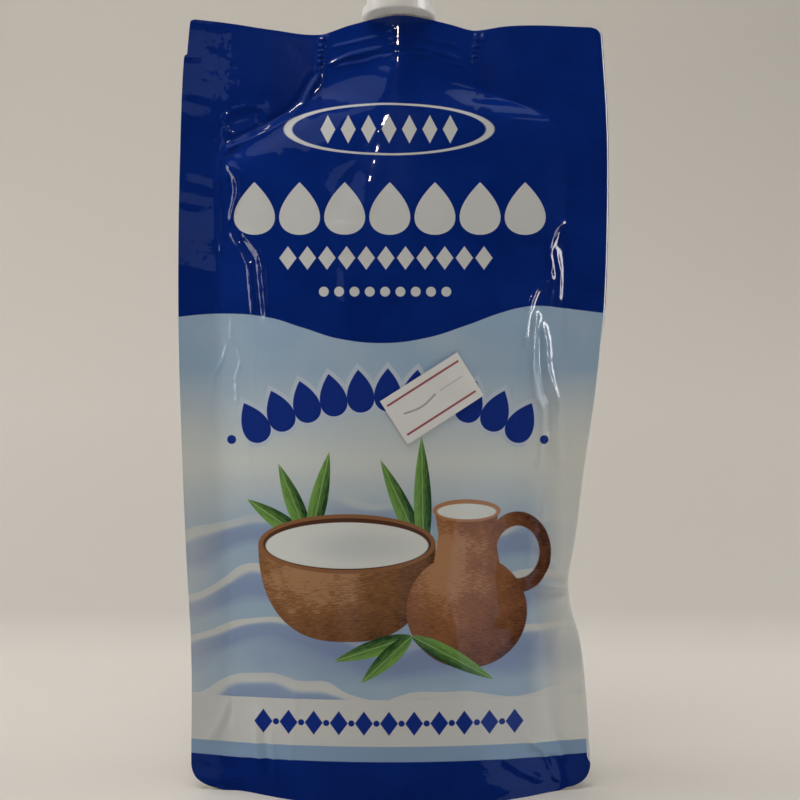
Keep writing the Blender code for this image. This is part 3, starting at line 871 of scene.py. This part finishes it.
def emblem(page):
    """A plain oval frame with a row of lozenges in it."""
    page.lay(WHITE, inside(abs(page.ellipse(EMBLEM, (25.8, 6.4))) - 0.26))
    pitch, along = 5.2, page.x - EMBLEM[0]
    shape = lozenge(along.repeat(pitch), page.z - EMBLEM[1], 1.9, 3.6)
    page.lay(WHITE, inside(shape, 0.08) * inside(abs(along) - 3.5 * pitch))


def drops_row(page):
    """A row of seven large white milk drops."""
    pitch, along = 11.5, page.x - DROPS[0]
    drop = page.drop(along.repeat(pitch), page.z - DROPS[1], 10.4, 13.4)
    page.lay(WHITE, inside(drop) * inside(abs(along) - 3.5 * pitch))


def small_rows(page):
    """A row of lozenges and, under it, a shorter row of dots."""
    pitch, along = 5.0, page.x - LOZENGES[0]
    shape = lozenge(along.repeat(pitch), page.z - LOZENGES[1], 2.2, 3.0)
    page.lay(WHITE, inside(shape, 0.08) * inside(abs(along) - 5.5 * pitch))
    pitch, along = 3.9, page.x - DOTS[0]
    shape = dot(along.repeat(pitch), page.z - DOTS[1], 1.25)
    page.lay(WHITE, inside(shape) * inside(abs(along) - 4.5 * pitch))


def arched_row(page):
    """An arch of eleven dark drops with pale rims, and a dot at each end."""
    pitch, half_width = 7.1, 3.6
    from_x, from_z = page.x - ARCH[0], page.z - ARCH[1]
    out = dot(from_x, from_z, ARCH_RADIUS)
    run = from_x.math("ARCTAN2", from_x, from_z) * ARCH_RADIUS
    drop = page.drop(run.repeat(pitch), out, 2 * half_width, 11.0)
    in_arch = inside(abs(run) - 5 * pitch - half_width)
    rim = page.drop(run.repeat(pitch), out - 0.3, 2 * half_width + 2.2, 13.6)
    page.lay(PALE_RIM, inside(rim, 0.3) * in_arch)
    page.lay(NAVY_TEXT, inside(drop) * in_arch)
    page.lay(NAVY_TEXT, inside(dot(abs(run) - 42.6, out + 1.0, 1.15)))


def leaves(page, base, tips, width):
    """A fan of pointed leaves, lighter on one side of each rib."""
    for tip in tips:
        distance, across, along, turn = page.leaf(base, tip, width)
        veins = page.noise(1.1, 2.0, (3.0, 0.5), turn)
        lit = (across * 0.28 + 0.45 + (veins - 0.5) * 0.9 + along * 0.2).held()
        green = page.mixed(ink(22, 48, 26), ink(84, 118, 58), lit)
        green = page.mixed(green, ink(120, 146, 92), inside(abs(across) - 0.12, 0.2) * 0.6)
        page.lay(green, inside(distance))


def turned_ware(page, centre, size, dark, light, grain, turn):
    """Brown wood or clay on a round body, streaked by its grain and lit from its upper left."""
    streaks = page.noise(grain, 4.0, (2.4, 0.5), turn, 0.7)
    lumps = page.noise(0.2, 2.0)
    lit_place = (centre[0] - 0.30 * size[0], centre[1] + 0.32 * size[1])
    glow = page.ellipse(lit_place, (size[0] * 0.9, size[1] * 0.9))
    lit = (0.50 - glow * (0.8 / min(size)) + (streaks - 0.5) + (lumps - 0.5) * 0.5).held()
    return page.mixed(page.mixed(dark, light, lit), ink(150, 122, 94), (lit - 0.8) * 1.6)


def milk_bowl(page):
    """A turned wooden bowl of milk."""
    size = (22.6, 7.6)
    across, down = page.split(page.local(BOWL, (size[0], 25.0)))
    body = (abs(across) ** 2.6 + abs(down) ** 2.2) ** 0.42 - 1.0
    dark, light = ink(44, 26, 18), ink(112, 78, 50)
    wood = turned_ware(page, (-14.0, 50.0), (26.0, 20.0), dark, light, 1.2, 3.0)
    page.lay(wood, inside(body * 22.0, 0.2) * inside(down, 0.02))
    page.lay(ink(104, 72, 48), inside(page.ellipse(BOWL, size)))
    page.lay(ink(60, 38, 27), inside(page.ellipse(BOWL, (size[0] - 1.2, size[1] - 1.0))))
    milk = page.ellipse((BOWL[0], BOWL[1] - 0.4), (size[0] - 1.9, size[1] - 1.7))
    page.lay(MILK, inside(milk))
    shade = page.ellipse((BOWL[0] + 3.0, BOWL[1] - 0.6), (11.0, 3.0))
    page.lay(ink(136, 142, 145), inside(shade, 3.0) * 0.4)


def milk_jug(page):
    """A clay jug of milk: its handle behind, then the belly, neck and open mouth."""
    middle, neck_z, mouth_z = JUG[0], 63.0, 71.0
    dark, light = ink(52, 27, 17), ink(120, 80, 52)
    clay = turned_ware(page, (middle, 50.0), (18.0, 22.0), dark, light, 1.6, 0.0)
    handle = abs(page.ellipse((middle + 13.0, 60.5), (7.0, 8.5))) - 1.5
    page.lay(clay, inside(handle, 0.25))
    belly = page.ellipse(JUG, (15.4, 14.6))
    neck = abs(page.x - middle) - 7.2 - abs(page.z - neck_z - 2.0) * 0.16
    neck = neck.most(abs(page.z - neck_z) - (mouth_z - neck_z))
    page.lay(clay, inside(belly.least(neck), 0.25))
    page.lay(ink(128, 92, 64), inside(page.ellipse((middle, mouth_z), (8.7, 2.9))))
    page.lay(MILK, inside(page.ellipse((middle, mouth_z - 0.2), (7.5, 2.0))))


def still_life(page):
    """A wooden bowl and a clay jug, both full of milk, with pointed green leaves."""
    page.lay(PERIWINKLE, inside(page.ellipse((0.0, 34.5), (35.0, 6.0)), 6.0) * 0.6)
    leaves(page, (-23.0, 63.0), ((-39.0, 74.0), (-31.0, 83.0), (-18.0, 86.0)), 6.8)
    leaves(page, (6.0, 60.0), ((-5.0, 84.0), (5.5, 90.0)), 6.8)
    milk_bowl(page)
    milk_jug(page)
    leaves(page, (3.0, 39.0), ((-17.0, 32.5), (-10.0, 27.0), (24.0, 28.0)), 6.6)


def plain_panel(page):
    """A bare white oval in a thin ring, with a dark drop in its middle."""
    page.lay(WHITE, inside(page.ellipse(PANEL, (36.0, 30.0)), 0.3))
    page.lay(NAVY_TEXT, inside(abs(page.ellipse(PANEL, (33.5, 27.5))) - 0.25))
    page.lay(NAVY_TEXT, inside(page.drop(page.x - PANEL[0], page.z - PANEL[1] - 1.0, 11.0, 17.0)))


FILM_FINISH = {"Roughness": 0.25, "Specular IOR Level": 0.01, "Coat Weight": 0.5, "Coat Roughness": 0.035}


def new_material(name):
    """A fresh material, with its node tree and its shader."""
    material = bpy.data.materials.new(name)
    material.use_nodes = True
    tree = material.node_tree
    return material, tree, tree.nodes["Principled BSDF"]


def film_shader(name, picture):
    """Glossy printed film. The front film has the picture, and the back film a bare panel in its place."""
    material, tree, shader = new_material(name)
    page = Print(tree, PALE_MIDDLE)
    print_fields(page)
    emblem(page)
    drops_row(page)
    small_rows(page)
    if picture:
        arched_row(page)
        still_life(page)
    else:
        plain_panel(page)
    bottom_row(page)
    feed(tree, shader, {"Base Color": page.colour, **FILM_FINISH})
    add_bump(tree, shader, page.noise(0.3, 2.0), 0.3, 0.0001)
    return material


def bottom_row(page):
    """Eleven dark lozenges along the white band, with a dot between each two."""
    pitch, half_width = 6.4, 2.3
    along, up = page.x - BAND_ROW_X, page.z - bent(page, *BAND_ROW)
    shapes = inside(lozenge(along.repeat(pitch), up, half_width, 3.1), 0.08)
    shapes = (shapes + inside(dot((along + pitch / 2).repeat(pitch), up, 0.8))).held()
    page.lay(NAVY_TEXT, shapes * inside(abs(along) - 5 * pitch - half_width))


def add_bump(tree, shader, height, strength, distance):
    """Fine relief from a wire of heights."""
    inputs = {"Strength": strength, "Distance": distance, "Height": height}
    normal = wire_from(tree, "ShaderNodeBump", inputs)
    feed(tree, shader, {"Normal": normal, "Coat Normal": normal})


def plain_shader(name, colour, other, roughness, grain, bump):
    """A material of two close colours in fine grain, with a little relief."""
    material, tree, shader = new_material(name)
    place = wire_from(tree, "ShaderNodeTexCoord", {}, "Object")
    grains = wire_from(tree, "ShaderNodeTexNoise", {"Vector": place, "Scale": grain, "Detail": 3.0}, "Fac")
    feed(tree, shader, {"Base Color": mixed(tree, colour, other, grains), "Roughness": roughness})
    add_bump(tree, shader, grains, bump, 0.0002)
    return material


def make_label(shift):
    """The price label, a thin slip of paper that follows the film and curls a little at one corner."""
    along = np.linspace(-LABEL_LENGTH / 2, LABEL_LENGTH / 2, LABEL_COLUMNS + 1)[None, :]
    up = np.linspace(-LABEL_WIDTH / 2, LABEL_WIDTH / 2, LABEL_ROWS + 1)[:, None]
    along, up = along + 0 * up, up + 0 * along
    x = LABEL_X + along * math.cos(LABEL_TURN) - up * math.sin(LABEL_TURN)
    z = LABEL_Z + along * math.sin(LABEL_TURN) + up * math.cos(LABEL_TURN)
    y = film_y(x, z, -1) - LABEL_LIFT
    y = y - (relief_of(FRONT_CREASES, *print_place(x, y, z)) + SEAL_STEP) * MM
    from_corner = np.hypot(along - LABEL_LENGTH / 2, up - LABEL_WIDTH / 2)
    y = y - LABEL_CURL * (1.0 - smooth(*LABEL_CURL_REACH, from_corner))
    near = np.stack([x, y, z], axis=-1)
    far = near - np.array([0.0, LABEL_THICKNESS, 0.0])
    web = np.stack([along, up], axis=-1) / MM
    sheets = [(near, web, 0), (far, web, 0)]
    for border in (np.s_[0], np.s_[-1], np.s_[:, 0], np.s_[:, -1]):
        sheets.append((np.stack([near[border], far[border]]), np.stack([web[border]] * 2), 0))
    return make_piece("label", sheets, shift)


def label_shader():
    """Label paper with two red rules, a wavering pen line, and a faint crease whose shade is painted as a
    darker line.
    """
    material, tree, shader = new_material("label_paper")
    page = Print(tree, ink(178, 179, 177))
    page.lay(ink(164, 164, 162), (page.noise(0.5, 3.0) - 0.35) * 0.8)
    page.lay(RED, inside(abs(page.z - 4.15) - 0.24) * inside(abs(page.x) - 9.9))
    page.lay(RED, inside(abs(page.z + 4.05) - 0.24) * inside(abs(page.x) - 9.6))
    sway = page.x.math("SINE", page.x * 0.5) * 0.5
    pen = inside(abs(page.z - sway - 0.2) - 0.2, 0.3) * inside(abs(page.x + 3.2) - 4.4)
    page.lay(ink(92, 92, 96), pen * 0.8)
    # Painted shade: a darker grey line stands in for the shade of a faint crease in the paper.
    crease_shade = inside(abs(page.z - 0.6) - 0.1, 0.2) * inside(abs(page.x - 5.6) - 3.2)
    page.lay(ink(120, 118, 116), crease_shade * 0.7)
    feed(tree, shader, {"Base Color": page.colour, "Roughness": 0.55})
    add_bump(tree, shader, page.noise(2.2, 3.0), 0.3, 0.0001)
    return material


WARM = (1.0, 0.97, 0.955)
COOL = (0.62, 0.85, 1.35)
SKY = (0.75, 0.95, 1.25)
MIDDLE = (0.0, 0.0, 0.1)
ROOM_COLOUR = (1.0, 0.96, 0.9, 1.0)
ROOM_LIGHT = 0.034
# The floor's and backdrop's paper, whose colour carries painted light and shade that changes with height:
# (share of the height below, colour)
PAPER_SHADE_HEIGHT = 0.45
PAPER_AND_PAINTED_SHADE = (
    (0.0, (0.795, 0.760, 0.692, 1.0)),
    (0.006, (0.668, 0.639, 0.580, 1.0)),
    (0.2, (0.718, 0.686, 0.622, 1.0)),
    (1.0, (0.672, 0.643, 0.580, 1.0)),
)
SWEEP_FRONT = -1.6
SWEEP_HALF_WIDTH = 1.6
SWEEP_DEPTH = 0.12
SWEEP_RADIUS = 0.7
SWEEP_HEIGHT = 1.6
SWEEP_STEPS = 24

# Lamps: name, azimuth and elevation in degrees, distance and size in metres, radiance, colour.
# The panels light the surfaces, and the others only show in their gloss.
PANELS = (
    ("overhead", -30, 74, 1.45, (1.3, 0.9), 3.85, WARM),
    ("left_panel", -88, 25, 1.25, (0.3, 0.6), 6.6, WARM),
    ("right_panel", 88, 25, 1.25, (0.3, 0.6), 3.8, WARM),
)
GLOSS_LAMPS = (
    ("sky_left", -62, 56, 1.3, (0.9, 0.34), 0.8, SKY),
    ("sky_right", 110, 69, 1.3, (0.6, 0.25), 0.8, SKY),
    ("sky_corner", 65, 54, 1.3, (0.25, 0.1), 0.8, SKY),
    ("upper_window", -18.5, 35.5, 1.2, (0.17, 0.19), 0.7, COOL),
    ("lower_window", -18.5, 20.7, 1.2, (0.17, 0.137), 0.7, COOL),
    ("left_strip", -78, 18, 1.1, (0.2, 0.8), 7.0, WARM),
    ("right_strip", 76, 18, 1.1, (0.25, 0.8), 22.0, WARM),
    ("glint", -2.5, 40, 1.2, (0.05, 0.05), 150.0, WARM),
    ("side_glint", -84, 58, 1.2, (0.08, 0.08), 60.0, WARM),
    ("foot_right", 50, -22, 1.1, (0.5, 0.34), 0.72, COOL),
    ("foot_middle", 15, -23, 1.1, (0.26, 0.34), 0.22, COOL),
    ("foot_left", -16, -24, 1.1, (0.2, 0.3), 0.25, COOL),
    ("back_window", 172, 30, 0.65, (0.30, 0.16), 0.9, COOL),
    ("back_left", 132, 22, 0.65, (0.06, 0.5), 6.0, WARM),
    ("back_right", -132, 26, 0.65, (0.08, 0.5), 4.0, WARM),
)


def sweep_shader():
    """Matt paper, palest on the floor and a little darker up the backdrop, its colour changed with height as
    painted light and shade.
    """
    material, tree, shader = new_material("paper_sweep_painted_shade")
    place = wire_from(tree, "ShaderNodeTexCoord", {}, "Object")
    height = wire_from(tree, "ShaderNodeSeparateXYZ", {0: place}, "Z")
    rise = wire_from(tree, "ShaderNodeMapRange", {"Value": height, "From Max": PAPER_SHADE_HEIGHT}, "Result")
    # Painted light and shade: the ramp makes the paper lighter or darker with height.
    ramp = add_node(tree, "ShaderNodeValToRGB", {0: rise})
    stops = ramp.color_ramp.elements
    for share, _ in PAPER_AND_PAINTED_SHADE[1:-1]:
        stops.new(share)
    for stop, (_, colour) in zip(stops, PAPER_AND_PAINTED_SHADE):
        stop.color = colour
    feed(tree, shader, {"Base Color": Wire(tree, ramp.outputs[0]), "Roughness": 0.9})
    return material


def make_stage():
    """A pale floor that sweeps up into a backdrop."""
    path = [(SWEEP_FRONT, 0.0), (SWEEP_DEPTH, 0.0)]
    for step in range(1, SWEEP_STEPS + 1):
        angle = math.pi / 2 * step / SWEEP_STEPS
        path.append((SWEEP_DEPTH + SWEEP_RADIUS * math.sin(angle), SWEEP_RADIUS * (1 - math.cos(angle))))
    path.append((SWEEP_DEPTH + SWEEP_RADIUS, SWEEP_HEIGHT))
    points = [(side * SWEEP_HALF_WIDTH, y, z) for y, z in path for side in (-1, 1)]
    faces = [(2 * k, 2 * k + 1, 2 * k + 3, 2 * k + 2) for k in range(len(path) - 1)]
    mesh = bpy.data.meshes.new("sweep")
    mesh.from_pydata(points, [], faces)
    mesh.shade_smooth()
    sweep = add_object("sweep", mesh)
    sweep.data.materials.append(sweep_shader())
    sweep.visible_glossy = False


def add_lamp(name, azimuth, elevation, distance, size, radiance, colour, gloss):
    """A rectangular lamp, seen from the pouch in this direction (0 is the camera's side) and turned to it.
    It either shows in the gloss or lights the surfaces."""
    turn, climb = math.radians(azimuth), math.radians(elevation)
    level = distance * math.cos(climb)
    away = np.array([level * math.sin(turn), -level * math.cos(turn), distance * math.sin(climb)])
    data = bpy.data.lights.new(name, "AREA")
    data.shape = "RECTANGLE"
    data.size, data.size_y = size
    data.energy = radiance * math.pi * size[0] * size[1]
    data.color = colour
    lamp = add_object(name, data)
    lamp.location = away + np.array(MIDDLE)
    lamp.rotation_euler = direction(-away)
    lamp.visible_glossy = gloss
    lamp.visible_diffuse = not gloss


def direction(toward):
    """Turn that points an object's -Z along a direction, with its +Y up."""
    x, y, z = toward
    flat = math.hypot(x, y)
    return (math.atan2(flat, -z), 0.0, math.atan2(y, x) - math.pi / 2)


def light_scene():
    """Plain soft light from three panels, the lamps that the gloss shows, and a dim room."""
    for lamps, gloss in ((PANELS, False), (GLOSS_LAMPS, True)):
        for lamp in lamps:
            add_lamp(*lamp, gloss)
    world = bpy.data.worlds.new("room")
    world.use_nodes = True
    tree = world.node_tree
    feed(tree, tree.nodes["Background"], {"Color": ROOM_COLOUR, "Strength": ROOM_LIGHT})
    bpy.context.scene.world = world


def place_camera(shift):
    """The photograph's viewpoint: level, in front of the pouch's middle, and close."""
    data = bpy.data.cameras.new("camera")
    data.sensor_width = SENSOR_WIDTH
    data.lens = FOCAL_PIXELS / FRAME_PIXELS * SENSOR_WIDTH
    data.clip_start = CLIP_START
    camera = add_object("camera", data)
    camera.location = (shift[0], EYE_Y + shift[1], EYE_Z + shift[2])
    camera.rotation_euler = (math.pi / 2, 0.0, 0.0)
    bpy.context.scene.camera = camera


def spout_shift():
    """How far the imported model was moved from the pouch's own frame, read from the cap's place."""
    low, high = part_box("cap")
    spout_y = float(through(SEAL_DEPTH, BOAT_TOP))
    return np.array([(low[0] + high[0]) / 2 - SPOUT_X, (low[1] + high[1]) / 2 - spout_y, 0.0])


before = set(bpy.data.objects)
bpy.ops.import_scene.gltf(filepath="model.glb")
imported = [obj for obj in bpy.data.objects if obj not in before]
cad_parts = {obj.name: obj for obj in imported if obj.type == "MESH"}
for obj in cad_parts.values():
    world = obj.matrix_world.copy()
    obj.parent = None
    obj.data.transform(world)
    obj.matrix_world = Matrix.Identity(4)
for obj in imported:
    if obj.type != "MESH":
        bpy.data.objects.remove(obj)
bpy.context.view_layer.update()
shift = spout_shift()

film = make_pouch(shift)
for material in (
    film_shader("front_film", True),
    film_shader("back_film", False),
    plain_shader("film_cut_edge", ink(120, 124, 130), ink(90, 94, 104), 0.4, 400.0, 0.1),
    plain_shader("gusset_film", ink(150, 151, 147), ink(140, 142, 140), 0.3, 120.0, 0.3),
    plain_shader("film_bare_edge", ink(188, 188, 182), ink(160, 162, 160), 0.3, 300.0, 0.1),
):
    film.data.materials.append(material)
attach(film, "root")
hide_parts("pouch")

label = make_label(shift)
label.data.materials.append(label_shader())
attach(label, "root")
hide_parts("price_label")

moulded = plain_shader("moulded_white", (0.95, 0.945, 0.91, 1.0), (0.93, 0.92, 0.88, 1.0), 0.38, 220.0, 0.12)
for node in ("spout", "tamper_ring", "cap"):
    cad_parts[node].material_slots[0].material = moulded

make_stage()
light_scene()
place_camera(shift)
bpy.context.scene.view_settings.view_transform = "Standard"
